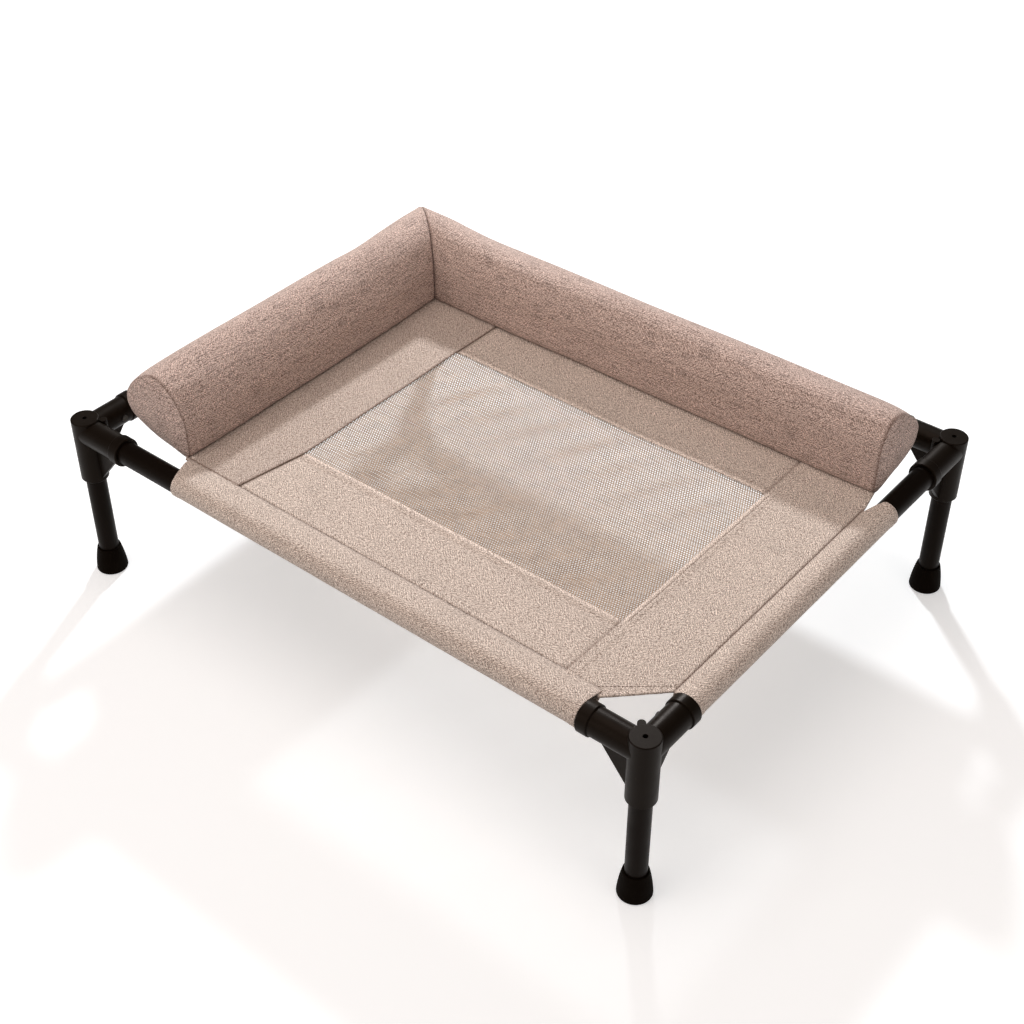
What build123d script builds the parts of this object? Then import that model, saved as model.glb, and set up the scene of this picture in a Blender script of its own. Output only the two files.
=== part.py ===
from build123d import *
import os
from math import sqrt

# Raised dog cot: four corner fittings, four rails and four legs carry a sewn sheet
# with a net window and an L-shaped bolster along the left and back sides.
# Millimetres. X runs along the long side, the front faces -Y, Z is up from the floor.

# Overall
hub_pitch_x = 730.0
hub_pitch_y = 552.0
cap_top_z = 206.0

# Tubes
leg_od = 22.0
leg_wall = 1.2
rail_od = 25.0
rail_wall = 1.2

# Corner fittings
socket_od = 30.0
socket_length = 79.0
socket_slip = 0.3
socket_chamfer = 3.0
leg_insertion = 60.0
leg_seat_gap = 0.1
arm_od = 29.0
arm_reach = 64.0
arm_stop = 19.0
arm_slip = 0.15
ring_od = 32.0
ring_length = 12.0
ring_fillet = 1.0
cap_rise = 1.5
cap_edge_chamfer = 0.8
cap_hole_d = 5.0
cap_hole_depth = 9.0
gusset_thickness = 4.0
gusset_reach = 49.0
gusset_drop = 72.0
crotch_boss_d = 8.0
crotch_boss_offset = 19.0
crotch_boss_below_cap = 3.0
crotch_boss_length = 30.0

# Leg lock screw
lock_screw_height = 14.0
lock_head_d = 8.0
lock_head_height = 3.0
lock_head_fillet = 1.2
lock_shank_d = 4.0
lock_boss_d = 10.0
lock_boss_height = 0.8
lock_tip_gap = 0.3

# Rail screws
rail_screw_reach = 40.0
rail_screw_head_d = 7.0
rail_screw_head_height = 2.2
rail_screw_shank_d = 3.6
rail_screw_length = 8.0

# Leg plug and foot
plug_flange = 2.0
plug_depth = 12.0
plug_bore_d = 8.0
foot_top_d = 25.6
foot_waist_d = 30.6
foot_bottom_d = 35.0
foot_height = 31.0
foot_waist_height = 14.0
foot_floor = 4.0
foot_edge_fillet = 2.0
foot_lip_fillet = 0.8

# Sewn sheet
sheet_over_rail_axis = 8.0
panel_thickness = 1.2
mesh_thickness = 0.8
mesh_seam_lap = 10.0
window_left_x = -150.0
window_right_x = 259.0
window_front_y = -163.5
window_back_y = 79.0
net_count_x = 20
net_count_y = 12
net_strand = 5.0

# Sleeves round the rails
sleeve_slip = 0.3
sleeve_wall = 1.2
sleeve_end_gap = 0.5
cloth_clear = 0.5
front_seam_inset = 29.0
right_seam_inset = 16.0
hidden_seam_inset = 20.0
front_sleeve_past_bolster = 8.0
right_sleeve_past_bolster = 9.0

# Cut corners of the sheet and their hems
corner_cut_x = 83.0
corner_cut_y = 83.0
right_cut_past_sleeve = 33.0
hem_width = 7.0
hem_thickness = 2.4

# Bolster
left_bolster_inset = 125.0
back_bolster_inset = 129.0
left_bolster_width = 94.0
back_bolster_width = 85.0
left_bolster_height = 88.0
back_bolster_height = 85.0
bolster_end_gap_y = 22.0
bolster_end_gap_x = 14.0
bolster_end_dome = 8.0
cover_thickness = 1.2

# Shares of the bolster's width (from its inner foot outward) and height, along its outline
inner_face_shares = (-0.02, 0.40)
inner_shoulder_shares = (0.11, 0.80)
left_ridge_shares = (0.43, 1.0)
left_slope_shares = (0.80, 0.79)
back_ridge_shares = (0.36, 1.0)
back_slope_shares = (0.76, 0.76)
outer_share = 0.42
under_turn_shares = (0.93, 0.14)
base_share = 0.62
# How full the bolster is at its sewn end, along its length and at the mitre
fullness_shares = (0.95, 1.0, 0.985, 1.0, 0.99)
dome_shares = (0.72, 0.90)

overrun = 50.0

# Places worked out from the sizes
half_x = hub_pitch_x / 2
half_y = hub_pitch_y / 2
rail_z = cap_top_z - cap_rise - arm_od / 2
socket_bottom_z = cap_top_z - socket_length
leg_stop_z = socket_bottom_z + leg_insertion
leg_top_z = leg_stop_z - leg_seat_gap
sheet_z = rail_z + sheet_over_rail_axis
sleeve_r = rail_od / 2 + sleeve_slip + sleeve_wall
sleeve_bore_r = rail_od / 2 + sleeve_slip
front_sleeve_left_inset = left_bolster_inset + front_sleeve_past_bolster
right_sleeve_back_inset = back_bolster_inset + right_sleeve_past_bolster
bolster_end_y = -half_y + bolster_end_gap_y
bolster_end_x = half_x - bolster_end_gap_x
inner_x = -half_x + left_bolster_inset
inner_y = half_y - back_bolster_inset
outer_x = inner_x - left_bolster_width
outer_y = inner_y + back_bolster_width

corner_turns = {
    "front_left": (-half_x, -half_y, 0),
    "front_right": (half_x, -half_y, 90),
    "back_right": (half_x, half_y, 180),
    "back_left": (-half_x, half_y, 270),
}

parts = {}


def rod(radius, start, end):
    """A round bar between two points."""
    axis = Vector(*end) - Vector(*start)
    place = Plane(origin=start, z_dir=axis)
    return place * Cylinder(radius, axis.length, align=(Align.CENTER, Align.CENTER, Align.MIN))


def tube(radius, wall, start, end):
    """A round tube between two points."""
    return rod(radius, start, end) - rod(radius - wall, start, end)


def box_between(low, high):
    """A box from its lowest to its highest corner."""
    size = Vector(*high) - Vector(*low)
    return Pos(*low) * Box(size.X, size.Y, size.Z, align=(Align.MIN, Align.MIN, Align.MIN))


def slab(outline, low_z, high_z):
    """A flat piece with a plan outline, from one height to another."""
    face = Pos(0, 0, low_z) * make_face(Polyline(*outline, close=True))
    return extrude(face, amount=high_z - low_z, dir=(0, 0, 1))


def turned(piece, corner):
    """A piece modelled at the front left corner's own axis, set at the named corner."""
    x, y, angle = corner_turns[corner]
    return Pos(x, y, 0) * Rot(0, 0, angle) * piece


def gusset(direction):
    """The web between a leg socket and one arm, in the upright plane through both."""
    x, y = direction
    top = rail_z
    foot_z = cap_top_z - gusset_drop
    outline = Polyline(
        (0, top),
        (gusset_reach, top),
        (gusset_reach, rail_z - arm_od / 2),
        (socket_od / 2, foot_z),
        (0, foot_z),
        close=True,
    )
    web_plane = Plane(origin=(0, 0, 0), x_dir=(x, y, 0), z_dir=(y, -x, 0))
    return extrude(web_plane * make_face(outline), amount=gusset_thickness / 2, both=True)


def corner_fitting():
    """The moulded corner: a leg socket, two rail arms with rings, gussets, a cap and a boss."""
    body = rod(socket_od / 2, (0, 0, socket_bottom_z), (0, 0, cap_top_z))
    body = chamfer(body.edges().group_by(Axis.Z)[0], length=socket_chamfer)
    body = chamfer(body.edges().group_by(Axis.Z)[-1], length=cap_edge_chamfer)
    for direction in ((1, 0), (0, 1)):
        x, y = direction
        arm_end = (x * arm_reach, y * arm_reach, rail_z)
        ring_start = (x * (arm_reach - ring_length), y * (arm_reach - ring_length), rail_z)
        ring = rod(ring_od / 2, ring_start, arm_end)
        ring = fillet(ring.edges().filter_by(GeomType.CIRCLE), radius=ring_fillet)
        body += rod(arm_od / 2, (0, 0, rail_z), arm_end) + ring + gusset(direction)
    boss_x = crotch_boss_offset / sqrt(2)
    boss_top = cap_top_z - crotch_boss_below_cap
    body += rod(crotch_boss_d / 2, (boss_x, boss_x, boss_top - crotch_boss_length), (boss_x, boss_x, boss_top))
    body += lock_screw_boss()
    for direction in ((1, 0), (0, 1)):
        x, y = direction
        bore_start = (x * arm_stop, y * arm_stop, rail_z)
        bore_end = (x * (arm_reach + overrun), y * (arm_reach + overrun), rail_z)
        body -= rod(rail_od / 2 + arm_slip, bore_start, bore_end)
        body -= rail_screw_shank(direction)
    body -= rod(leg_od / 2 + socket_slip, (0, 0, socket_bottom_z - overrun), (0, 0, leg_stop_z))
    body -= rod(cap_hole_d / 2, (0, 0, cap_top_z - cap_hole_depth), (0, 0, cap_top_z + overrun))
    body -= lock_screw_shank()
    return body


def diagonal_point(distance, height):
    """A point on the corner's inner diagonal, at a distance from the leg axis."""
    return (distance / sqrt(2), distance / sqrt(2), height)


lock_z = socket_bottom_z + lock_screw_height
lock_seat = socket_od / 2 + lock_boss_height


def lock_screw_boss():
    """A low round seat for the lock screw's head."""
    return rod(lock_boss_d / 2, diagonal_point(leg_od / 2 + leg_wall, lock_z), diagonal_point(lock_seat, lock_z))


def lock_screw_shank():
    """The lock screw's shank, up to just clear of the leg tube."""
    tip = leg_od / 2 + lock_tip_gap
    return rod(lock_shank_d / 2, diagonal_point(tip, lock_z), diagonal_point(lock_seat, lock_z))


def lock_screw():
    """A round-headed screw that locks the leg in its socket."""
    head_end = diagonal_point(lock_seat + lock_head_height, lock_z)
    head = rod(lock_head_d / 2, diagonal_point(lock_seat, lock_z), head_end)
    rim = head.edges().filter_by(GeomType.CIRCLE).sort_by_distance(Vector(0, 0, lock_z))[-1]
    head = fillet(rim, radius=lock_head_fillet)
    return head + lock_screw_shank()


def rail_screw_shank(direction):
    """The shank of a rail screw, on the arm's inner side, through the arm and the rail's wall."""
    x, y = direction
    seat = arm_od / 2
    tip = seat - rail_screw_length
    start = (x * rail_screw_reach + y * tip, y * rail_screw_reach + x * tip, rail_z)
    end = (x * rail_screw_reach + y * seat, y * rail_screw_reach + x * seat, rail_z)
    return rod(rail_screw_shank_d / 2, start, end)


def rail_screw(direction):
    """A pan-head screw that holds a rail in its arm; the head's face sinks into the round arm."""
    x, y = direction
    seat = arm_od / 2 - rail_screw_head_height / 2
    top = arm_od / 2 + rail_screw_head_height / 2
    start = (x * rail_screw_reach + y * seat, y * rail_screw_reach + x * seat, rail_z)
    end = (x * rail_screw_reach + y * top, y * rail_screw_reach + x * top, rail_z)
    return rod(rail_screw_head_d / 2, start, end)


# Corner fittings and their fasteners
plain_corner = corner_fitting()
for direction in ((1, 0), (0, 1)):
    plain_corner -= rail_screw(direction)
lock_screw_set = []
rail_screw_set = []
for corner in corner_turns:
    parts[corner + "_corner"] = turned(plain_corner, corner)
    lock_screw_set.append(turned(lock_screw(), corner))
    for direction in ((1, 0), (0, 1)):
        screw = rail_screw(direction) + rail_screw_shank(direction)
        rail_screw_set.append(turned(screw, corner))
parts["leg_lock_screws"] = Compound(children=lock_screw_set)
parts["rail_screws"] = Compound(children=rail_screw_set)

# Rails, each drilled for its two screws
rail_ends = {
    "front_rail": ((-half_x + arm_stop, -half_y, rail_z), (half_x - arm_stop, -half_y, rail_z)),
    "back_rail": ((-half_x + arm_stop, half_y, rail_z), (half_x - arm_stop, half_y, rail_z)),
    "left_rail": ((-half_x, -half_y + arm_stop, rail_z), (-half_x, half_y - arm_stop, rail_z)),
    "right_rail": ((half_x, -half_y + arm_stop, rail_z), (half_x, half_y - arm_stop, rail_z)),
}
all_shanks = []
for corner in corner_turns:
    for direction in ((1, 0), (0, 1)):
        all_shanks.append(turned(rail_screw_shank(direction), corner))
for name, (start, end) in rail_ends.items():
    rail = tube(rail_od / 2, rail_wall, start, end)
    for shank in all_shanks:
        rail -= shank
    parts[name] = rail

# Legs with their plugs and feet
leg = tube(leg_od / 2, leg_wall, (0, 0, foot_floor), (0, 0, leg_top_z - plug_flange))
plug = rod(leg_od / 2, (0, 0, leg_top_z - plug_flange), (0, 0, leg_top_z))
plug += rod(leg_od / 2 - leg_wall, (0, 0, leg_top_z - plug_depth), (0, 0, leg_top_z - plug_flange))
plug -= rod(plug_bore_d / 2, (0, 0, leg_top_z - plug_depth), (0, 0, leg_top_z - plug_flange))


def foot():
    """The flared rubber foot: a bell turned about the leg's axis, with a blind bore."""
    side = ThreePointArc(
        (foot_bottom_d / 2, 0),
        (foot_waist_d / 2 + foot_lip_fillet, foot_waist_height),
        (foot_top_d / 2, foot_height),
    )
    outline = side + Polyline((foot_top_d / 2, foot_height), (0, foot_height), (0, 0), (foot_bottom_d / 2, 0))
    bell = revolve(Plane.XZ * make_face(outline), axis=Axis.Z)
    rims = bell.edges().filter_by(GeomType.CIRCLE)
    bell = fillet(rims.group_by(Axis.Z)[0], radius=foot_edge_fillet)
    rims = bell.edges().filter_by(GeomType.CIRCLE)
    bell = fillet(rims.group_by(Axis.Z)[-1], radius=foot_lip_fillet)
    return bell - rod(leg_od / 2, (0, 0, foot_floor), (0, 0, foot_height + overrun))


rubber_foot = foot()
for corner in corner_turns:
    parts[corner + "_leg"] = turned(leg, corner)
    parts[corner + "_plug"] = turned(plug, corner)
    parts[corner + "_foot"] = turned(rubber_foot, corner)

# Sleeves: a sewn tube round each rail and a stitched flap on the sheet
arm_clear = arm_reach + sleeve_end_gap
flap_low = sheet_z
flap_high = sheet_z + panel_thickness
sleeve_specs = {
    "front_sleeve": (
        (-half_x + front_sleeve_left_inset, -half_y, rail_z),
        (half_x - arm_clear, -half_y, rail_z),
        (0, front_seam_inset),
    ),
    "right_sleeve": (
        (half_x, -half_y + arm_clear, rail_z),
        (half_x, half_y - right_sleeve_back_inset, rail_z),
        (-right_seam_inset, 0),
    ),
    "left_sleeve": (
        (-half_x, -half_y + arm_clear, rail_z),
        (-half_x, half_y - arm_clear, rail_z),
        (hidden_seam_inset, 0),
    ),
    "back_sleeve": (
        (-half_x + arm_clear, half_y, rail_z),
        (half_x - arm_clear, half_y, rail_z),
        (0, -hidden_seam_inset),
    ),
}
corner_cuts = {
    "front_right": ((half_x - corner_cut_x, -half_y), (half_x, -half_y + corner_cut_y)),
    "front_left": (
        (-half_x + front_sleeve_left_inset, -half_y + bolster_end_gap_y),
        (-half_x, -half_y + corner_cut_y),
    ),
    "back_right": (
        (half_x - corner_cut_x, half_y),
        (half_x, half_y - right_sleeve_back_inset - right_cut_past_sleeve),
    ),
    "back_left": ((-half_x + corner_cut_x, half_y), (-half_x, half_y - corner_cut_y)),
}


def cut_zone(corner):
    """The plan area outside a cut corner, full height, for trimming cloth."""
    on_x, on_y = corner_cuts[corner]
    x, y, angle = corner_turns[corner]
    side_x = 1 if x > 0 else -1
    side_y = 1 if y > 0 else -1
    outline = (
        on_x,
        on_y,
        (x + side_x * overrun, on_y[1]),
        (x + side_x * overrun, y + side_y * overrun),
        (on_x[0], y + side_y * overrun),
    )
    return slab(outline, 0, cap_top_z + overrun)


cut_zones = {corner: cut_zone(corner) for corner in corner_cuts}
rail_voids = [rod(sleeve_r, *ends) for ends in rail_ends.values()]
arm_voids = []
for corner in corner_turns:
    for x, y in ((1, 0), (0, 1)):
        arm_void = rod(ring_od / 2 + cloth_clear, (0, 0, rail_z), (x * arm_clear, y * arm_clear, rail_z))
        arm_voids.append(turned(arm_void, corner))

for name, (start, end, seam) in sleeve_specs.items():
    cloth = rod(sleeve_r, start, end)
    low = (min(start[0], end[0] + seam[0]), min(start[1], end[1] + seam[1]), flap_low)
    high = (max(end[0], start[0] + seam[0]), max(end[1], start[1] + seam[1]), flap_high)
    flap = box_between(low, high)
    for zone in cut_zones.values():
        flap -= zone
    cloth += flap
    cloth -= rod(sleeve_bore_r, start, end)
    parts[name] = cloth

# Sheet panels: left and right run the full depth, front and back fit between them
panel_low = sheet_z - panel_thickness


def sheet_panel(low_x, low_y, high_x, high_y):
    """A cloth panel between two plan corners, trimmed at the rails and the cut corners."""
    cloth = box_between((low_x, low_y, panel_low), (high_x, high_y, sheet_z))
    for void in rail_voids + arm_voids:
        cloth -= void
    for zone in cut_zones.values():
        cloth -= zone
    pieces = cloth.solids().sort_by(SortBy.VOLUME)
    return pieces[-1]


parts["left_panel"] = sheet_panel(-half_x, -half_y, window_left_x, half_y)
parts["right_panel"] = sheet_panel(window_right_x, -half_y, half_x, half_y)
parts["front_panel"] = sheet_panel(window_left_x, -half_y, window_right_x, window_front_y)
parts["back_panel"] = sheet_panel(window_left_x, window_back_y, window_right_x, half_y)


def mesh_net():
    """The net: one thin sheet with rows of gaps, sewn under the panels' edges."""
    low_x = window_left_x - mesh_seam_lap
    low_y = window_front_y - mesh_seam_lap
    high_x = window_right_x + mesh_seam_lap
    high_y = window_back_y + mesh_seam_lap
    pitch_x = (window_right_x - window_left_x) / net_count_x
    pitch_y = (window_back_y - window_front_y) / net_count_y
    middle_x = (low_x + high_x) / 2
    middle_y = (low_y + high_y) / 2
    net = Rectangle(high_x - low_x, high_y - low_y)
    net -= GridLocations(pitch_x, pitch_y, net_count_x, net_count_y) * Rectangle(pitch_x - net_strand, pitch_y - net_strand)
    return extrude(Pos(middle_x, middle_y, panel_low - mesh_thickness) * net, amount=mesh_thickness)


parts["mesh_window"] = mesh_net()


def corner_hem(corner):
    """The folded hem under the cut edge of the sheet at one corner."""
    start, end = corner_cuts[corner]
    run = Vector(*end) - Vector(*start)
    middle = (Vector(*end) + Vector(*start)) / 2
    inward = Vector(-middle.X, -middle.Y, 0).normalized()
    along = Vector(run.X, run.Y, 0).normalized()
    across = Vector(-along.Y, along.X, 0)
    if across.dot(inward) < 0:
        across = across * -1
    first = Vector(start[0], start[1], 0)
    last = Vector(end[0], end[1], 0)
    outline = [tuple(point)[:2] for point in (first, last, last + across * hem_width, first + across * hem_width)]
    strip = slab(outline, panel_low - hem_thickness, panel_low)
    for void in rail_voids + arm_voids:
        strip -= void
    return strip.solids().sort_by(SortBy.VOLUME)[-1]


parts["corner_hems"] = Compound(children=[corner_hem(corner) for corner in corner_cuts])


def bolster_outline(width, height, ridge_shares, slope_shares, inset, fullness):
    """The bolster's outline: upright inner face, round top, sloping back and flat foot."""
    wide = width * fullness - 2 * inset
    tall = height * fullness - 2 * inset
    side = width * (1 - fullness) / 2 + inset

    def at(shares):
        return (-side - shares[0] * wide, inset + shares[1] * tall)

    foot_inner = at((0, 0))
    face_top = at(inner_face_shares)
    ridge = at(ridge_shares)
    outer = at((1, outer_share))
    foot_outer = at((base_share, 0))
    return (
        Line(foot_inner, face_top)
        + ThreePointArc(face_top, at(inner_shoulder_shares), ridge)
        + ThreePointArc(ridge, at(slope_shares), outer)
        + ThreePointArc(outer, at(under_turn_shares), foot_outer)
        + Line(foot_outer, foot_inner)
    )


bolster_specs = {
    "left_bolster": {
        "size": (left_bolster_width, left_bolster_height, left_ridge_shares, left_slope_shares),
        "start": (inner_x, bolster_end_y, sheet_z),
        "run": (0, 1, 0),
        "length": inner_y + back_bolster_width - bolster_end_y,
        "outward": (1, 0, 0),
    },
    "back_bolster": {
        "size": (back_bolster_width, back_bolster_height, back_ridge_shares, back_slope_shares),
        "start": (bolster_end_x, inner_y, sheet_z),
        "run": (-1, 0, 0),
        "length": bolster_end_x - inner_x + left_bolster_width,
        "outward": (0, -1, 0),
    },
}


def bolster_section(spec, along, inset, fullness):
    """One section of a bolster, square to its run, at a distance from its sewn end."""
    start = Vector(*spec["start"]) + Vector(*spec["run"]) * along
    upright = Vector(*spec["outward"]).cross(Vector(0, 0, 1))
    place = Plane(origin=start, x_dir=spec["outward"], z_dir=upright)
    return place * make_face(bolster_outline(*spec["size"], inset, fullness))


def bolster_roll(spec, inset):
    """The long part of a bolster, from its end seam past the mitre."""
    first = bolster_end_dome
    steps = len(fullness_shares) - 1
    sections = []
    for step, fullness in enumerate(fullness_shares):
        along = first + (spec["length"] - first) * step / steps
        sections.append(bolster_section(spec, along, inset, fullness))
    return loft(sections)


def bolster_dome(spec, inset):
    """The swelling end of a bolster, from its face to its end seam."""
    sections = [
        bolster_section(spec, inset, inset, fullness_shares[0] * dome_shares[0]),
        bolster_section(spec, inset + (bolster_end_dome - inset) / 3, inset, fullness_shares[0] * dome_shares[1]),
        bolster_section(spec, bolster_end_dome, inset, fullness_shares[0]),
    ]
    return loft(sections, ruled=True)


mitre_run = Vector(outer_x - inner_x, outer_y - inner_y, 0)
mitre_in = Vector(inner_x, inner_y, 0) - mitre_run
mitre_out = Vector(outer_x, outer_y, 0) + mitre_run
mitre_zones = {
    "left_bolster": (
        (mitre_in.X, mitre_in.Y),
        (mitre_out.X, mitre_out.Y),
        (mitre_out.X - overrun, mitre_out.Y),
        (mitre_out.X - overrun, -half_y - overrun),
        (mitre_in.X, -half_y - overrun),
    ),
    "back_bolster": (
        (mitre_in.X, mitre_in.Y),
        (half_x + overrun, mitre_in.Y),
        (half_x + overrun, mitre_out.Y + overrun),
        (mitre_out.X, mitre_out.Y + overrun),
        (mitre_out.X, mitre_out.Y),
    ),
}

for name, spec in bolster_specs.items():
    zone = slab(mitre_zones[name], sheet_z, sheet_z + left_bolster_height + overrun)
    outside = bolster_roll(spec, 0) & zone
    inside = bolster_roll(spec, cover_thickness) & zone
    parts[name + "_cover"] = outside - inside
    parts[name + "_fill"] = inside
    parts[name + "_end"] = bolster_dome(spec, 0) - bolster_dome(spec, cover_thickness)

os.makedirs("parts", exist_ok=True)
for name, piece in parts.items():
    export_step(piece, "parts/" + name + ".step")
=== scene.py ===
"""Raised dog cot: the sewn sheet, its net window, the rail sleeves and the L-shaped bolster
are made here round the fixed frame. Metres; X runs along the long side, the front faces -Y."""
import math

import bmesh
import bpy
import numpy as np
from mathutils import Matrix, Vector


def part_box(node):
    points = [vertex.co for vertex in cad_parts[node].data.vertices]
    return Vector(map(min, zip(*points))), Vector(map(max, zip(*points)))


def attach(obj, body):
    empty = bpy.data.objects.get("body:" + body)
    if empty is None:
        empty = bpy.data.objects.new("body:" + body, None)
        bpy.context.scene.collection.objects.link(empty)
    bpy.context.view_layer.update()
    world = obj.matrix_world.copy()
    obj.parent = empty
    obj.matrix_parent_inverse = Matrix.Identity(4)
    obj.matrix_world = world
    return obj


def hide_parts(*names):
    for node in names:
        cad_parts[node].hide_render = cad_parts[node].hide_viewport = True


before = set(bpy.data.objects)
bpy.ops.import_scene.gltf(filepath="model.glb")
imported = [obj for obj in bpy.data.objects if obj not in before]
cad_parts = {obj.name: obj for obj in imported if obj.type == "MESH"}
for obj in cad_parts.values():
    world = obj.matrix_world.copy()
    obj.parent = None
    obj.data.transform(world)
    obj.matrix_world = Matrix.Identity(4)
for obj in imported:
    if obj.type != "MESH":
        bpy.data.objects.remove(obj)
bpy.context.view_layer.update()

MM = 0.001


def middle(node):
    """The middle of a node's box."""
    low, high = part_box(node)
    return (np.array(low) + np.array(high)) / 2


# Places read from the frame
RAIL_Z = middle("front_rail")[2]
FRONT_Y = middle("front_rail")[1]
BACK_Y = middle("back_rail")[1]
LEFT_X = middle("left_rail")[0]
RIGHT_X = middle("right_rail")[0]
SHEET_Z = RAIL_Z + 8 * MM

# The sheet: its cloth, the window, and the seams beside the rails
CLOTH = 1.2 * MM
SAG = 2.5 * MM
SAG_HALF = (0.35, 0.256)
SEAM_LAP = 4 * MM
NET_LAP = 10 * MM
WINDOW_X = (-150 * MM, 259 * MM)
WINDOW_Y = (-163.5 * MM, 79 * MM)
FRONT_INSET = 29 * MM
RIGHT_INSET = 16 * MM
HIDDEN_INSET = 20 * MM
SEAM_FRONT, SEAM_BACK = FRONT_Y + FRONT_INSET, BACK_Y - HIDDEN_INSET
SEAM_LEFT, SEAM_RIGHT = LEFT_X + HIDDEN_INSET, RIGHT_X - RIGHT_INSET

# The left panel's inner seam runs outwards from the window's corner to the front seam
SEAM_SPLAY = 12 * MM
SEAM_SPLAY_RUN = 83 * MM

# Hem folds, their stitches and the seams' tucks
FOLD = 0.9 * MM
FOLD_WIDTH = 10 * MM
GROOVE = 0.5 * MM
LONG_STITCH_IN = 7.5 * MM
RIGHT_STITCH_IN = 5.0 * MM
LEFT_STITCH_IN = 1.0 * MM
RAIL_TUCK = 0.9 * MM
RAIL_TUCK_WIDTH = 1.6 * MM
FIELD_WAVE = 0.5 * MM

# Sleeves
SLEEVE_R = 13.6 * MM
SLEEVE_END = 64.5 * MM
SLEEVE_HEM = 9 * MM
SLEEVE_HEM_RISE = 0.35 * MM
SLEEVE_SLACK = 0.35 * MM
SLEEVE_PINCH = 0.5 * MM
FLAP_GAP = 2.2 * MM
SLANT_RUN = 60 * MM
FRONT_SLEEVE_X = LEFT_X + 133 * MM
RIGHT_SLEEVE_Y = BACK_Y - 138 * MM

# The bolster's outline, as distance inboard of its rail's axis and height over the sheet, in millimetres
LEFT_OUTLINE = (
    (125, 0), (127, 31), (126, 45), (120, 59), (110, 74), (97, 84), (85, 88), (73, 85.5),
    (60, 77.5), (47, 67), (37, 54.5), (32, 43), (33, 30.5), (40, 21), (55, 13.5), (75, 6.5), (100, 2),
)
BACK_OUTLINE = (
    (129.5, 0), (130.5, 34), (130.5, 49), (126.5, 66.5), (116.5, 80), (104.5, 84), (96.5, 83), (85.5, 79),
    (73.5, 71.5), (60.5, 60.5), (50.5, 51), (44.5, 39), (45.5, 26.5), (52.5, 17.5), (71.5, 10), (83.5, 7),
    (100.5, 4),
)
LEFT_INSET = 125 * MM
LEFT_SLANT = 6 * MM
BACK_INSET = 129 * MM
LEFT_WIDTH = 94 * MM
BACK_WIDTH = 85 * MM
INNER_CORNER = (LEFT_X + LEFT_INSET - 3 * MM, BACK_Y - BACK_INSET)
MITRE_SLOPE = 0.82
MITRE_LIFT = 4 * MM
MITRE_BLEND = 110 * MM
END_SEAM_Y = -247 * MM
END_SEAM_X = 344 * MM
END_DOME = 7 * MM
AIR_CAP = 1.8 * MM


def smooth(low, high, value):
    """Smooth step: 0 below low, 1 above high, 3t^2 - 2t^3 between."""
    t = np.clip((value - low) / (high - low), 0, 1)
    return t * t * (3 - 2 * t)


def hill(distance, width):
    """A bell, 1 at no distance: exp(-(distance / width)^2)."""
    return np.exp(-(distance / width) ** 2)


def ripple(along, wavelength, seed):
    """Uneven waves: three sines of 0.7 to 1.6 wavelengths with seeded phases, averaged."""
    rng = np.random.default_rng(seed)
    total = np.zeros_like(along)
    for stretch, phase in rng.uniform((0.7, 0), (1.6, 2 * math.pi), (3, 2)):
        total += np.sin(2 * math.pi * along / (wavelength * stretch) + phase)
    return total / 3


def run_along(path):
    """The length of a path up to each of its points."""
    return np.concatenate([[0], np.cumsum(np.linalg.norm(np.diff(path, axis=0), axis=1))])


def sheet_height(x, y):
    """Top of the sheet: a product of two parabolas sags it, and two slow waves, in radians a metre, ride on it."""
    across = np.clip(1 - (x / SAG_HALF[0]) ** 2, 0, 1)
    along = np.clip(1 - (y / SAG_HALF[1]) ** 2, 0, 1)
    waves = FIELD_WAVE * (np.sin(31 * x + 17 * y) + np.sin(19 * x - 43 * y + 1.3))
    return SHEET_Z - across * along * SAG + waves * np.minimum(across, along)


def spread(start, end, step, *fine):
    """Even steps from start to end, with extra lines each millimetre round the fine places."""
    lines = [np.linspace(start, end, max(2, int(round(abs(end - start) / step)) + 1))]
    for place, reach in fine:
        lines.append(place + np.arange(-reach, reach + 1) * MM)
    merged = np.unique(np.round(np.concatenate(lines), 5))
    merged = merged[(merged >= start - 1e-7) & (merged <= end + 1e-7)]
    keep = np.concatenate([[True], np.diff(merged) > 0.4 * MM])
    return merged[keep]


def left_seam(y):
    """The left panel's inner edge as x at each y: straight beside the window, splayed in front of it."""
    return WINDOW_X[0] - SEAM_SPLAY * np.clip((WINDOW_Y[0] - y) / SEAM_SPLAY_RUN, 0, 1)


# Meshes


def placed(name, data):
    """A new object in the scene."""
    made = bpy.data.objects.new(name, data)
    bpy.context.scene.collection.objects.link(made)
    return made


def cloth_mesh(name, points, faces, corner_uv, painted_shading=None, flat=False):
    """A mesh object from vertex places, faces and the cloth's own UV in metres at each face corner."""
    mesh = bpy.data.meshes.new(name)
    mesh.from_pydata(points.tolist(), [], list(map(tuple, faces)))
    layer = mesh.uv_layers.new(name="cloth")
    layer.data.foreach_set("uv", np.ascontiguousarray(corner_uv, dtype=np.float32).ravel())
    # the painted shading attribute: above 0 painted shade, below 0 painted highlight
    if painted_shading is not None:
        mark = mesh.attributes.new("painted_shading", "FLOAT", "POINT")
        mark.data.foreach_set("value", np.ascontiguousarray(painted_shading, dtype=np.float32).ravel())
    mesh.polygons.foreach_set("use_smooth", np.full(len(mesh.polygons), not flat))
    mesh.update()
    return placed(name, mesh)


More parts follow.
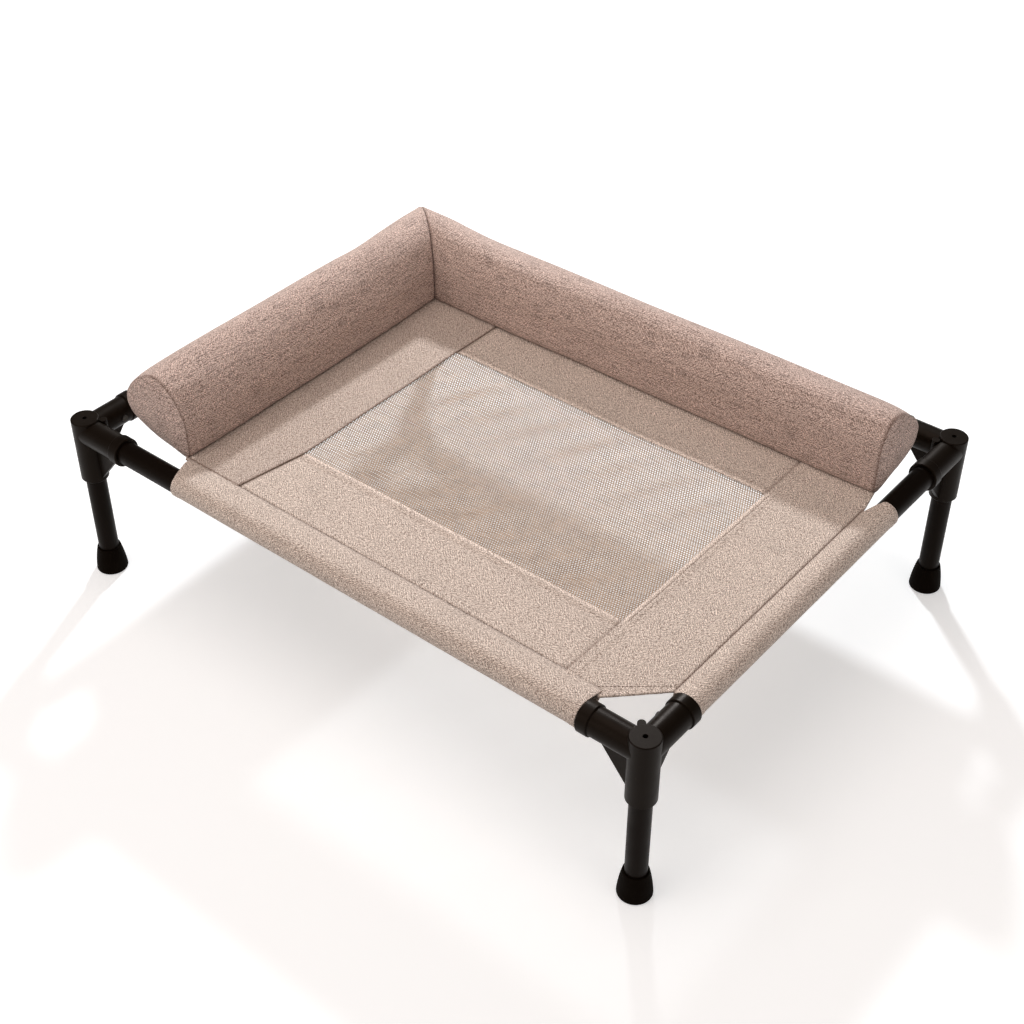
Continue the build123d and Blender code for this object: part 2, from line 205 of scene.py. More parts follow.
def grid_piece(name, points, uv, closed=False, painted_shading=None):
    """Quads over a grid of points, rows by columns; a closed grid also joins its last column to its first."""
    rows, columns = points.shape[:2]
    steps = columns if closed else columns - 1
    r, c = np.meshgrid(np.arange(rows - 1), np.arange(steps), indexing="ij")
    r, c = r.ravel(), c.ravel()
    row, below, after = r * columns, (r + 1) * columns, (c + 1) % columns
    quads = np.stack([row + c, row + after, below + after, below + c], axis=1)
    corner_uv = np.stack([uv[r, c], uv[r, c + 1], uv[r + 1, c + 1], uv[r + 1, c]], axis=1)
    return cloth_mesh(name, points.reshape(-1, 3), quads, corner_uv, painted_shading)


def welded(piece, outward=True):
    """Merges doubled vertices, so that poles and seams close, and turns the faces outwards."""
    work = bmesh.new()
    work.from_mesh(piece.data)
    bmesh.ops.remove_doubles(work, verts=work.verts, dist=0.02 * MM)
    if outward:
        bmesh.ops.recalc_face_normals(work, faces=work.faces)
    work.to_mesh(piece.data)
    work.free()
    return piece


def thick(piece):
    """Gives a sheet its thickness, below its face."""
    wall = piece.modifiers.new("thickness", "SOLIDIFY")
    wall.thickness = CLOTH
    wall.offset = -1.0
    return piece


def subdivided(piece):
    """One smooth subdivision, the same in the view and the render."""
    smoothing = piece.modifiers.new("soft", "SUBSURF")
    smoothing.levels = smoothing.render_levels = 1
    return piece


# Shader nodes


def add(tree, kind, sockets=None, **settings):
    """Adds a node with its properties, and gives its sockets links or values; a colour is three numbers."""
    made = tree.nodes.new(kind)
    for key, value in settings.items():
        setattr(made, key, value)
    for key, value in (sockets or {}).items():
        socket = made.inputs[key]
        if isinstance(value, bpy.types.NodeSocket):
            tree.links.new(value, socket)
        else:
            socket.default_value = (*value, 1) if socket.type == "RGBA" else value
    return made


def maths(tree, operation, *values, clamp=False):
    """One Math node's result."""
    return add(tree, "ShaderNodeMath", dict(enumerate(values)), operation=operation, use_clamp=clamp).outputs[0]


def blended(tree, amount, first, second, mode="MIX"):
    """A Mix node's colour."""
    sockets = {0: amount, 6: first, 7: second}
    return add(tree, "ShaderNodeMix", sockets, data_type="RGBA", blend_type=mode).outputs[2]


def noise(tree, vector, scale, detail=2.0, roughness=0.5, dimensions="3D"):
    """A Noise node's value."""
    sockets = {"Vector": vector, "Scale": scale, "Detail": detail, "Roughness": roughness}
    return add(tree, "ShaderNodeTexNoise", sockets, noise_dimensions=dimensions).outputs[0]


def stretched(tree, vector, scale, place=(0, 0, 0)):
    """A Mapping node's vector."""
    sockets = {"Vector": vector, "Scale": scale, "Location": place}
    return add(tree, "ShaderNodeMapping", sockets).outputs[0]


def ranged(tree, value, low, high, to_low=0.0, to_high=1.0):
    """A clamped Map Range node's result."""
    sockets = {"Value": value, "From Min": low, "From Max": high, "To Min": to_low, "To Max": to_high}
    return add(tree, "ShaderNodeMapRange", sockets).outputs[0]


def surface_group(name, inputs):
    """A new node group with named inputs, which puts out a colour, a height and a roughness."""
    tree = bpy.data.node_groups.new(name, "ShaderNodeTree")
    outputs = {"Colour": COLOUR, "Height": FLOAT, "Roughness": FLOAT}
    for side, sockets in (("INPUT", inputs), ("OUTPUT", outputs)):
        for label, kind in sockets.items():
            tree.interface.new_socket(name=label, in_out=side, socket_type=kind)
    return tree, tree.nodes.new("NodeGroupInput").outputs


COLOUR, FLOAT, VECTOR = "NodeSocketColor", "NodeSocketFloat", "NodeSocketVector"

# The linen's yarns, twill and streaks: lengths in millimetres, scales in turns per millimetre of cloth
WEFT_SLUBS = (0.36, 1.45, 1)
WARP_SLUBS = (1.45, 0.5, 1)
FLECKS = (0.2, 1.1, 1)
STREAKS = (0.045, 0.62, 1)
GRAIN = 1.15
CLOUDS = 0.016
WEFT_SHARE = 0.58
TWILL_PERIOD = 3.0
TWILL_TURN = 14.0
TWILL_WANDER = 5.0


def linen_group():
    """Melange linen: slubbed yarns both ways, a fine zigzag twill and dark flecks along the cloth's length, with
    painted shade along seams and painted highlights along folds where the painted shading input says.
    """
    yarns = {"Light yarn": COLOUR, "Dark yarn": COLOUR, "Fleck and seam shade": COLOUR}
    tree, given = surface_group("Melange linen", {"Cloth": VECTOR, **yarns, "Painted shade and highlight": FLOAT, "Streaks": FLOAT})
    sockets = {0: given["Cloth"], 1: (1 / MM, 1 / MM, 0)}
    in_mm = add(tree, "ShaderNodeVectorMath", sockets, operation="MULTIPLY").outputs[0]

    def slubs(scale, place=(0, 0, 0), detail=1.0, roughness=0.6):
        """Flat noise, stretched over the cloth."""
        return noise(tree, stretched(tree, in_mm, scale, place), 1.0, detail, roughness, "2D")

    weft, warp = slubs(WEFT_SLUBS), slubs(WARP_SLUBS, (31, 7, 0))
    grain = noise(tree, in_mm, GRAIN, 1.0, 0.6, "2D")
    cloud = noise(tree, in_mm, CLOUDS, 1.0, 0.5, "2D")
    fleck = ranged(tree, slubs(FLECKS, (11, 53, 0), 1.5, 0.5), 0.60, 0.70)
    streak = ranged(tree, slubs(STREAKS, (5, 17, 0), 1.0, 0.5), 0.5, 0.68)

    # A twill line runs diagonally, turns back at even steps and wanders a little
    split = add(tree, "ShaderNodeSeparateXYZ", {0: in_mm})
    turn = maths(tree, "PINGPONG", split.outputs[1], TWILL_TURN)
    wander = maths(tree, "MULTIPLY", noise(tree, in_mm, 0.13, 1.0, 0.6, "2D"), TWILL_WANDER)
    diagonal = maths(tree, "ADD", maths(tree, "ADD", split.outputs[0], turn), wander)
    twill = maths(tree, "SINE", maths(tree, "MULTIPLY", diagonal, 2 * math.pi / TWILL_PERIOD))
    twill = maths(tree, "MULTIPLY_ADD", twill, 0.5, 0.5)

    weft = maths(tree, "MULTIPLY", weft, WEFT_SHARE)
    yarns = maths(tree, "ADD", weft, maths(tree, "MULTIPLY", warp, 1 - WEFT_SHARE))
    colour = blended(tree, ranged(tree, yarns, 0.40, 0.55), given["Dark yarn"], given["Light yarn"])
    colour = blended(tree, maths(tree, "MULTIPLY", fleck, 0.5), colour, given["Fleck and seam shade"])
    tone = maths(tree, "MULTIPLY_ADD", twill, 0.42, 0.74)
    tone = maths(tree, "SUBTRACT", tone, maths(tree, "MULTIPLY", streak, given["Streaks"]))
    tone = maths(tree, "ADD", tone, ranged(tree, grain, 0.3, 0.7, -0.27, 0.29))
    tone = maths(tree, "ADD", tone, ranged(tree, cloud, 0.3, 0.7, -0.02, 0.02))

    # Painted shading above 0 paints shade into a seam unevenly, and below 0 paints a highlight along a fold
    tone = maths(tree, "SUBTRACT", tone, maths(tree, "MINIMUM", given["Painted shade and highlight"], 0.0))
    lit = add(tree, "ShaderNodeCombineXYZ", {0: tone, 1: tone, 2: tone}).outputs[0]
    colour = blended(tree, 1.0, colour, lit, "MULTIPLY")
    # painted seam shade: the positive painted shading, broken up by the grain, blends towards the fleck colour
    sewn = maths(tree, "MULTIPLY", given["Painted shade and highlight"], ranged(tree, grain, 0.35, 0.6, 0.55, 1.0), clamp=True)
    colour = blended(tree, maths(tree, "MULTIPLY", sewn, 0.8), colour, given["Fleck and seam shade"])
    height = maths(tree, "ADD", maths(tree, "MULTIPLY", twill, 0.45), maths(tree, "MULTIPLY", yarns, 0.9))
    roughness = ranged(tree, yarns, 0.3, 0.7, 0.82, 0.96)
    add(tree, "NodeGroupOutput", {"Colour": colour, "Height": height, "Roughness": roughness})
    return tree


def moulded_group():
    """Moulded or painted surface: fine grain, soft blotches in the gloss and faint scuffs."""
    values = {"Grain size": FLOAT, "Gloss low": FLOAT, "Gloss high": FLOAT}
    tree, given = surface_group("Moulded grain", {"Place": VECTOR, "Base": COLOUR, "Scuffed": COLOUR, **values})
    fine = noise(tree, given["Place"], given["Grain size"], 3.0, 0.6)
    blotch = noise(tree, given["Place"], 60.0, 3.0, 0.55)
    scuff = noise(tree, stretched(tree, given["Place"], (1, 1, 0.25)), 420.0, 4.0, 0.7)
    scuff = maths(tree, "MULTIPLY", ranged(tree, scuff, 0.60, 0.74), ranged(tree, blotch, 0.45, 0.65))
    colour = blended(tree, maths(tree, "MULTIPLY", scuff, 0.5), given["Base"], given["Scuffed"])
    gloss = ranged(tree, blotch, 0.3, 0.7, given["Gloss low"], given["Gloss high"])
    gloss = maths(tree, "MULTIPLY_ADD", scuff, 0.15, gloss)
    add(tree, "NodeGroupOutput", {"Colour": colour, "Height": fine, "Roughness": gloss})
    return tree


LINEN = linen_group()
MOULDED = moulded_group()


# Finishes


def new_material(name, values):
    """A material with its output and a Principled shader that has these values."""
    made = bpy.data.materials.new(name)
    made.use_nodes = True
    tree = made.node_tree
    tree.nodes.clear()
    shader = add(tree, "ShaderNodeBsdfPrincipled", values)
    add(tree, "ShaderNodeOutputMaterial", {"Surface": shader.outputs[0]})
    return made, tree, shader


def surfaced(tree, shader, colour, roughness, height, bump, depth, edge=0.0):
    """Links a colour and a roughness to the shader, and a height through a Bump node, over rounded edges
    where an edge radius is given."""
    sockets = {"Height": height, "Strength": bump, "Distance": depth}
    if edge:
        sockets["Normal"] = add(tree, "ShaderNodeBevel", {"Radius": edge}, samples=4).outputs[0]
    raised = add(tree, "ShaderNodeBump", sockets).outputs[0]
    for key, value in (("Base Color", colour), ("Roughness", roughness), ("Normal", raised)):
        tree.links.new(value, shader.inputs[key])


def linen(name, light, dark, fleck, streaks):
    """Cloth on the piece's own UV, with painted shade along its seams and painted highlights along its folds where
    the painted_shading attribute says.
    """
    values = {"Sheen Weight": 0.15, "Sheen Roughness": 0.5, "Specular IOR Level": 0.25}
    made, tree, shader = new_material(name, values)
    sockets = {
        "Cloth": add(tree, "ShaderNodeUVMap", uv_map="cloth").outputs[0],
        "Painted shade and highlight": add(tree, "ShaderNodeAttribute", attribute_name="painted_shading").outputs["Fac"],
        "Light yarn": light,
        "Dark yarn": dark,
        # the fleck colour also colours the painted seam shade
        "Fleck and seam shade": fleck,
        "Streaks": streaks,
    }
    weave = add(tree, "ShaderNodeGroup", sockets, node_tree=LINEN).outputs
    surfaced(tree, shader, weave["Colour"], weave["Roughness"], weave["Height"], 0.35, 0.5 * MM)
    return made


def moulded(name, base, scuffed, grain, gloss, bump, metallic=0.0, edge=0.0, gleam=0.06):
    """Plastic, paint, rubber or metal on Object coordinates."""
    values = {"Metallic": metallic, "Specular IOR Level": gleam, "Specular Tint": (1.0, 0.84, 0.74)}
    made, tree, shader = new_material(name, values)
    sockets = {
        "Place": add(tree, "ShaderNodeTexCoord").outputs["Object"],
        "Base": base,
        "Scuffed": scuffed,
        "Grain size": grain,
        "Gloss low": gloss[0],
        "Gloss high": gloss[1],
    }
    skin = add(tree, "ShaderNodeGroup", sockets, node_tree=MOULDED).outputs
    surfaced(tree, shader, skin["Colour"], skin["Roughness"], skin["Height"], bump, 0.2 * MM, edge)
    return made


def thread(name, light, dark):
    """Twisted thread: colour and bump vary in fine flecks on Object coordinates."""
    made, tree, shader = new_material(name, {"Specular IOR Level": 0.3})
    place = add(tree, "ShaderNodeTexCoord").outputs["Object"]
    twist = noise(tree, place, 2500.0, 2.0, 0.6)
    slow = noise(tree, place, 90.0, 2.0, 0.5)
    tone = maths(tree, "ADD", maths(tree, "MULTIPLY", twist, 0.6), maths(tree, "MULTIPLY", slow, 0.4))
    colour = blended(tree, ranged(tree, tone, 0.35, 0.65), dark, light)
    surfaced(tree, shader, colour, ranged(tree, twist, 0.3, 0.7, 0.6, 0.85), twist, 0.3, 0.1 * MM)
    return made


SHEET_LINEN = linen("sheet linen", (0.84, 0.735, 0.66), (0.30, 0.232, 0.194), (0.17, 0.105, 0.078), 0.14)
BOLSTER_LINEN = linen("bolster linen", (0.80, 0.635, 0.57), (0.22, 0.145, 0.12), (0.11, 0.06, 0.045), 0.32)
CORNER_PLASTIC = moulded(
    "corner plastic", (0.005, 0.003, 0.0015), (0.03, 0.024, 0.02), 1300.0, (0.34, 0.46), 0.25,
    edge=0.5 * MM, gleam=0.09,
)
BLACK_PAINT = moulded("black paint", (0.004, 0.0022, 0.0012), (0.024, 0.02, 0.017), 2200.0, (0.34, 0.46), 0.12)
FOOT_RUBBER = moulded(
    "foot rubber", (0.004, 0.0025, 0.0015), (0.03, 0.025, 0.02), 1100.0, (0.62, 0.78), 0.35,
    edge=0.4 * MM, gleam=0.03,
)
SCREW_STEEL = moulded("screw steel", (0.05, 0.047, 0.043), (0.2, 0.18, 0.17), 2600.0, (0.3, 0.45), 0.15, 0.9)
PLUG_PLASTIC = moulded("plug plastic", (0.012, 0.01, 0.008), (0.05, 0.045, 0.04), 1500.0, (0.45, 0.6), 0.2)
NET_YARN = thread("net yarn", (0.62, 0.465, 0.345), (0.36, 0.262, 0.192))
SEAM_THREAD = thread("seam thread", (0.20, 0.13, 0.095), (0.09, 0.055, 0.04))
CLOTH_THREAD = thread("cloth-coloured thread", (0.62, 0.49, 0.40), (0.42, 0.32, 0.26))

# The frame's own nodes keep their shapes and take the new finishes
FINISHES = {
    "corner": CORNER_PLASTIC,
    "rail": BLACK_PAINT,
    "leg": BLACK_PAINT,
    "foot": FOOT_RUBBER,
    "plug": PLUG_PLASTIC,
    "screws": SCREW_STEEL,
}
for node_name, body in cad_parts.items():
    finish = FINISHES.get(node_name.split("_")[-1])
    if finish is not None:
        for place in body.material_slots:
            place.material = finish


def dressed(piece, finish, slot, *nodes):
    """Gives a new piece its finish, sets it on the frame, and hides the nodes it replaces."""
    piece.data.materials.append(finish)
    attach(piece, "frame")
    if nodes:
        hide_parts(*nodes)
    return piece


# Sleeves round the rails


def sleeve_section(inset):
    """A sleeve's outline round its rail, as (inboard, up) from the axis. Two straight runs touch a circle at
    plus and minus acos(r / d) from the line to the seam, and the arc goes round the far side."""
    seam = np.array([inset, SHEET_Z - RAIL_Z - 0.5 * MM])
    far = np.linalg.norm(seam)
    lean = math.atan2(seam[1], seam[0])
    open_angle = math.acos(SLEEVE_R / far)
    arc = np.linspace(lean + open_angle, lean + 2 * math.pi - open_angle, 34)
    ring = SLEEVE_R * np.stack([np.cos(arc), np.sin(arc)], axis=1)
    run = np.linspace(0, 1, 9)[:-1, None]
    top = seam + (ring[0] - seam) * run
    top[:, 1] += 0.9 * MM * np.sin(math.pi * run[:, 0]) ** 0.7
    under_seam = seam - np.array([0, FLAP_GAP])
    under = (ring[-1] + (under_seam - ring[-1]) * np.linspace(0, 1, 7)[1:, None])
    return np.concatenate([top, ring, under])


def sleeve(name, axis_start, axis_end, inward, inset, slants, seed):
    """A sleeve: its section carried along the rail, pinched in waves beside the seam, a little slack on its
    far side and fuller at each end, where its hem is folded. The slants cut its first end shorter on the
    outer side and its last end shorter beside the seam."""
    start, end = np.array((*axis_start, RAIL_Z)), np.array((*axis_end, RAIL_Z))
    length = np.linalg.norm(end - start)
    direction = (end - start) / length
    along = spread(0, length, 5 * MM, (0, 10), (length, 10))
    section = sleeve_section(inset)
    run = run_along(section)
    near_seam = np.exp(-run / (7 * MM))[:, None]
    hem = 1 - smooth(SLEEVE_HEM - 1 * MM, SLEEVE_HEM + 0.5 * MM, np.minimum(along, length - along))
    grow = 1 + (SLEEVE_HEM_RISE / SLEEVE_R) * hem
    pinch = ripple(along, 13 * MM, seed) * SLEEVE_PINCH
    slack = SLEEVE_SLACK * ripple(along, 85 * MM, seed + 1) * np.sin(math.pi * run / run[-1])[:, None]
    inboard, up = section[:, :1], section[:, 1:]
    inboard = inboard * np.where(inboard > 0, 1, grow)
    up = up * grow + near_seam * pinch - np.abs(slack)
    outer = smooth(0, 40 * MM, run)[:, None]
    inner = smooth(16 * MM, 0, np.minimum(run, run[-1] - run))[:, None]
    place = along + slants[0] * outer * np.clip(1 - along / SLANT_RUN, 0, 1)
    place = place - slants[1] * inner * np.clip(1 - (length - along) / SLANT_RUN, 0, 1)
    points = start + place[..., None] * direction + inboard[..., None] * np.array(inward)
    points = points + up[..., None] * np.array(UP)
    uv = np.stack(np.broadcast_arrays(along, run[:, None]), axis=2)
    # painted shade along the sleeve's seam
    painted_shading = hill(run - 0.6 * MM, 1.1 * MM)[:, None] * np.ones_like(along)
    normal = np.cross(points[:-1, 1:] - points[:-1, :-1], points[1:, :-1] - points[:-1, :-1])
    if np.sum(normal[20, 0] * (points[20, 0] - start)) < 0:
        points, uv, painted_shading = points[:, ::-1], uv[:, ::-1], painted_shading[:, ::-1]
    piece = thick(grid_piece(name + "_cloth", points, uv, painted_shading=painted_shading))
    dressed(piece, SHEET_LINEN, "linen_cloth", name)


UP = (0, 0, 1.0)
NEAR_X, FAR_X = LEFT_X + SLEEVE_END, RIGHT_X - SLEEVE_END
NEAR_Y, FAR_Y = FRONT_Y + SLEEVE_END, BACK_Y - SLEEVE_END

# Each sleeve's run in plan, its inboard direction, its seam's inset and its ends' slants
SLEEVES = {
    "front_sleeve": ((FRONT_SLEEVE_X, FRONT_Y), (FAR_X, FRONT_Y), (0, 1, 0), FRONT_INSET, (14 * MM, 0)),
    "right_sleeve": ((RIGHT_X, NEAR_Y), (RIGHT_X, RIGHT_SLEEVE_Y), (-1, 0, 0), RIGHT_INSET, (0, 24 * MM)),
    "left_sleeve": ((LEFT_X, NEAR_Y), (LEFT_X, FAR_Y), (1, 0, 0), HIDDEN_INSET, (0, 0)),
    "back_sleeve": ((NEAR_X, BACK_Y), (FAR_X, BACK_Y), (0, -1, 0), HIDDEN_INSET, (0, 0)),
}
for number, (name, run) in enumerate(SLEEVES.items()):
    sleeve(name, *run, 40 + number)


# The sheet's four panels

# Each cut corner's ends in plan and its edge's bow towards the sheet's middle
CUTS = {
    "front_right": ((RIGHT_X - 83 * MM, FRONT_Y), (RIGHT_X, FRONT_Y + 83 * MM), 0.0),
    "back_right": ((RIGHT_X - 47 * MM, BACK_Y), (RIGHT_X, BACK_Y - 233 * MM), 0.0),
    "front_left": ((FRONT_SLEEVE_X, FRONT_Y + 29 * MM), (LEFT_X, FRONT_Y + 110 * MM), 3 * MM),
    "back_left": ((LEFT_X + 83 * MM, BACK_Y), (LEFT_X, BACK_Y - 83 * MM), 3 * MM),
}


def cut_line(corner, x):
    """The cut corner's edge as y at each x: a straight line and a parabola's bow."""
    (x0, y0), (x1, y1), bow = CUTS[corner]
    t = (x - x0) / (x1 - x0)
    inward = 1 if y0 < 0 else -1
    return y0 + (y1 - y0) * t + inward * bow * 4 * t * (1 - t)


def folded(from_edge, stitch_in):
    """The height of a folded hem: one cloth more near the edge, less a groove along the stitches."""
    raised = FOLD * (1 - smooth(FOLD_WIDTH - 1 * MM, FOLD_WIDTH + 1 * MM, from_edge))
    rim = -0.5 * MM * (1 - smooth(0, 1.2 * MM, from_edge))
    return raised + rim - GROOVE * hill(from_edge - stitch_in, 0.9 * MM)


def side_panel(name, x_lines, y_low, y_high, window_x, outer_x, stitch_in, painted_shade_shares):
    """A side panel over the sheet's field, between two edges given as y at each x. Its window edge is folded,
    so it stands a fold higher there, with a groove along the stitches. Four shares set the painted shade along
    its edge beside the net, its edge beside the cloth panels and its front seam, and over all of it; painted shade
    also lies along its rail seam and stitch groove, and a painted highlight along its window fold."""
    shade_beside_net, shade_beside_cloth, front_seam_shade, panel_shade = painted_shade_shares
    rows = np.unique(np.concatenate([np.linspace(0, 1, 110), np.linspace(0, 0.016, 11)]))[:, None]
    x = np.broadcast_to(x_lines, (len(rows), len(x_lines)))
    y = y_low * (1 - rows) + y_high * rows
    from_edge, from_rail = np.abs(x - window_x), np.abs(x - outer_x)
    z = sheet_height(x, y) + folded(from_edge, stitch_in) - RAIL_TUCK * hill(from_rail, RAIL_TUCK_WIDTH)
    z = z + 0.3 * MM * ripple(y, 17 * MM, 3) * np.exp(-from_rail / (8 * MM))
    beside_net = smooth(WINDOW_Y[0] - 3 * MM, WINDOW_Y[0] + 1 * MM, y)
    beside_net = beside_net * smooth(WINDOW_Y[1] + 3 * MM, WINDOW_Y[1] - 1 * MM, y)
    edge_shade = shade_beside_net * beside_net + shade_beside_cloth * (1 - beside_net)
    # painted shading: shade along the window edge, the rail seam and the stitch groove, a painted highlight along
    # the window fold, and shade along the front seam and over the whole panel
    painted_shading = edge_shade * hill(from_edge, 1.1 * MM) + hill(from_rail, 1.5 * MM)
    painted_shading = painted_shading + (0.5 - shade_beside_net * 0.5) * beside_net * hill(from_edge - stitch_in, 0.8 * MM)
    painted_shading = painted_shading - 0.3 * (1 - shade_beside_net) * beside_net * hill(from_edge - 2 * MM, 1.6 * MM)
    painted_shading = painted_shading + front_seam_shade * hill(y - FRONT_Y - FRONT_INSET, 1.1 * MM) + panel_shade
    if window_x == WINDOW_X[0]:
        x = x + (left_seam(y) - window_x) * (1 - from_edge / abs(window_x - outer_x))
    points = np.stack([x, y, z], axis=2)
    panel_piece(name, points, np.stack([y, x], axis=2), painted_shading)


def long_panel(name, y_lines, window_y, outer_y):
    """The front or back panel, sewn a cloth lower under the side panels' hems."""
    x_lines = spread(WINDOW_X[0] - NET_LAP, WINDOW_X[1] + NET_LAP, 5 * MM)
    y, x = np.meshgrid(y_lines, x_lines, indexing="ij")
    from_edge, from_rail = np.abs(y - window_y), np.abs(y - outer_y)
    aside = np.clip((WINDOW_X[1] - x) / (WINDOW_X[1] - WINDOW_X[0]), 0, 1)
    x = x + (left_seam(y) - WINDOW_X[0]) * aside
    beside = np.minimum(x - left_seam(y), WINDOW_X[1] - x)
    under = 1 - smooth(0, 3 * MM, beside)
    z = sheet_height(x, y) + folded(from_edge, LONG_STITCH_IN) * (1 - under) - (0.3 + 1.0 * under) * MM
    z = z - RAIL_TUCK * hill(from_rail, RAIL_TUCK_WIDTH)
    z = z + 0.45 * MM * ripple(x, 14 * MM, 7) * np.exp(-from_rail / (9 * MM))
    # painted shading: shade along the stitch line, a painted highlight along the window fold, uneven shade along the
    # rail seam, and shade where the panel runs under the side panels
    painted_shading = 0.12 * hill(from_edge - LONG_STITCH_IN, 0.8 * MM) - 0.3 * hill(from_edge - 2.2 * MM, 1.6 * MM)
    painted_shading = painted_shading + (0.35 + 0.25 * ripple(x, 22 * MM, 5)) * hill(from_rail, 1.4 * MM)
    painted_shading = painted_shading + 0.7 * (1 - smooth(0, 1.5 * MM, beside))
    points = np.stack([x, y, z], axis=2)
    panel_piece(name, points, np.stack([x, y], axis=2), painted_shading)


def panel_piece(name, points, uv, painted_shading):
    """The panel as a thick sheet."""
    piece = thick(grid_piece(name + "_cloth", points, uv, painted_shading=np.clip(painted_shading, -0.4, 1)))
    dressed(piece, SHEET_LINEN, "linen_cloth", name)


front_edge, back_edge = SEAM_FRONT - SEAM_LAP, SEAM_BACK + SEAM_LAP
left_edge, right_edge = SEAM_LEFT - SEAM_LAP, SEAM_RIGHT + SEAM_LAP - 0.5 * MM

# The right panel reaches 7 mm further forward where its cut edge meets the front right corner's arm
x_lines = spread(WINDOW_X[1], right_edge, 4 * MM, (WINDOW_X[1] + 5 * MM, 5), (SEAM_RIGHT, 3))
beside_arm = smooth(RIGHT_X - 67 * MM, RIGHT_X - 63 * MM, x_lines)
low = np.maximum(front_edge - 7 * MM * beside_arm, cut_line("front_right", x_lines))
low = np.where(x_lines < CUTS["front_right"][0][0], front_edge, low)
high = np.minimum(back_edge, cut_line("back_right", x_lines))
high = np.where(x_lines < CUTS["back_right"][0][0], back_edge, high)
side_panel("right_panel", x_lines, low, high, WINDOW_X[1], SEAM_RIGHT, RIGHT_STITCH_IN, (0.0, 0.75, 0.35, 0.0))

x_lines = spread(left_edge, WINDOW_X[0], 4 * MM, (WINDOW_X[0] - 6 * MM, 6), (SEAM_LEFT, 3))
low = np.where(x_lines > CUTS["front_left"][0][0], front_edge, cut_line("front_left", x_lines))
high = np.minimum(back_edge, cut_line("back_left", x_lines))
high = np.where(x_lines > CUTS["back_left"][0][0], back_edge, high)
# painted shade: strong along the edges and front seam, and a share over the whole left panel for the shade of the
# left bolster
side_panel("left_panel", x_lines, low, high, WINDOW_X[0], SEAM_LEFT, LEFT_STITCH_IN, (0.9, 0.8, 0.9, 0.34))

y_lines = spread(front_edge, WINDOW_Y[0], 4 * MM, (WINDOW_Y[0] - 6 * MM, 6), (SEAM_FRONT, 3))
long_panel("front_panel", y_lines, WINDOW_Y[0], SEAM_FRONT)
y_lines = spread(WINDOW_Y[1], back_edge, 4 * MM, (WINDOW_Y[1] + 6 * MM, 6), (SEAM_BACK, 3))
long_panel("back_panel", y_lines, WINDOW_Y[1], SEAM_BACK)


# The net window

NET_PITCH = 2.8 * MM
YARN_WIDTH = 2.2 * MM
YARN_DEPTH = 0.5 * MM
NET_UNDER = 2.4 * MM
NET_SLACK = 1.4 * MM
NET_HANG = 1.6 * MM


def net_height(x, y):
    """The net's surface: under the panels at its edges, with two sets of slack ripples 52 and 81 mm long that
    die out over 45 mm at the hems."""
    inside = smooth(0, 45 * MM, np.minimum(x - WINDOW_X[0], WINDOW_X[1] - x))
    inside = inside * smooth(0, 45 * MM, np.minimum(y - WINDOW_Y[0], WINDOW_Y[1] - y))
    slack = np.sin(2 * math.pi * (x - 0.45 * y) / 0.052) + 0.7 * np.sin(2 * math.pi * (x - 0.15 * y) / 0.081 + 1.1)
    slack = slack * (0.6 + 0.4 * np.sin(2 * math.pi * y / 0.19))
    return sheet_height(x, y) - NET_UNDER + inside * (NET_SLACK * slack - NET_HANG)


def knitted_net(name):
    """Rows of zigzag yarn. A row is a three-sided section carried along a triangle wave, and neighbouring rows
    are mirrored, so their peaks lock into each other."""
    x = np.arange(WINDOW_X[0] - NET_LAP, WINDOW_X[1] + NET_LAP, NET_PITCH / 2)
    rows = np.arange(WINDOW_Y[0] - NET_LAP + NET_PITCH / 2, WINDOW_Y[1] + NET_LAP, NET_PITCH)
    section = np.array([(-YARN_WIDTH, -YARN_DEPTH), (YARN_WIDTH, -YARN_DEPTH), (0, YARN_DEPTH)]) / 2
    side_to_side = 1 - 2 * (np.arange(len(x)) % 2)
    mirrored = 1 - 2 * (np.arange(len(rows)) % 2)[:, None]
    centre_y = rows[:, None] + side_to_side * mirrored * NET_PITCH * 0.44
    centre_x = np.broadcast_to(x, centre_y.shape)
    centre_z = net_height(centre_x, centre_y) + 0.12 * MM * mirrored
    across, up = centre_y[..., None] + section[:, 0], centre_z[..., None] + section[:, 1]
    points = np.stack([np.broadcast_to(centre_x[..., None], across.shape), across, up], axis=3)
    count = len(x)
    row, step, side = np.meshgrid(np.arange(len(rows)), np.arange(count - 1), np.arange(3), indexing="ij")
    base = (row * count + step) * 3
    after = (side + 1) % 3
    quads = np.stack([base + side, base + 3 + side, base + 3 + after, base + after], axis=3).reshape(-1, 4)
    start = np.arange(len(rows)) * count * 3
    far = start + (count - 1) * 3
    ends = np.concatenate([start[:, None] + np.array([2, 1, 0]), far[:, None] + np.array([0, 1, 2])])
    places = points.reshape(-1, 3)
    loops = np.concatenate([quads.ravel(), ends.ravel()])
    return cloth_mesh(name, places, quads.tolist() + ends.tolist(), places[loops][:, :2], flat=True)


net = dressed(knitted_net("window_net_cloth"), NET_YARN, "window_net", "mesh_window")


# Hems along the cut corners

# Each hem's start and stop, as shares of its cut, clear of the rails' arms
HEM_SHARES = {
    "front_right": (0.222, 0.80), "back_right": (0.09, 0.66), "front_left": (0.0, 0.86), "back_left": (0.2, 0.80),
}
HEM_WIDTH = 7 * MM
HEM_THICK = 2.6 * MM


def hem_path(corner):
    """The hem's run along its cut, with the inward direction in plan."""
    (x0, y0), (x1, _), _ = CUTS[corner]
    x = x0 + (x1 - x0) * np.linspace(*HEM_SHARES[corner], 40)
    y = cut_line(corner, x)
    slope = np.gradient(y, x)
    inward = np.stack([-slope, np.ones_like(slope)], axis=1) * (1 if y0 < 0 else -1)
    return np.stack([x, y], axis=1), inward / np.linalg.norm(inward, axis=1)[:, None]


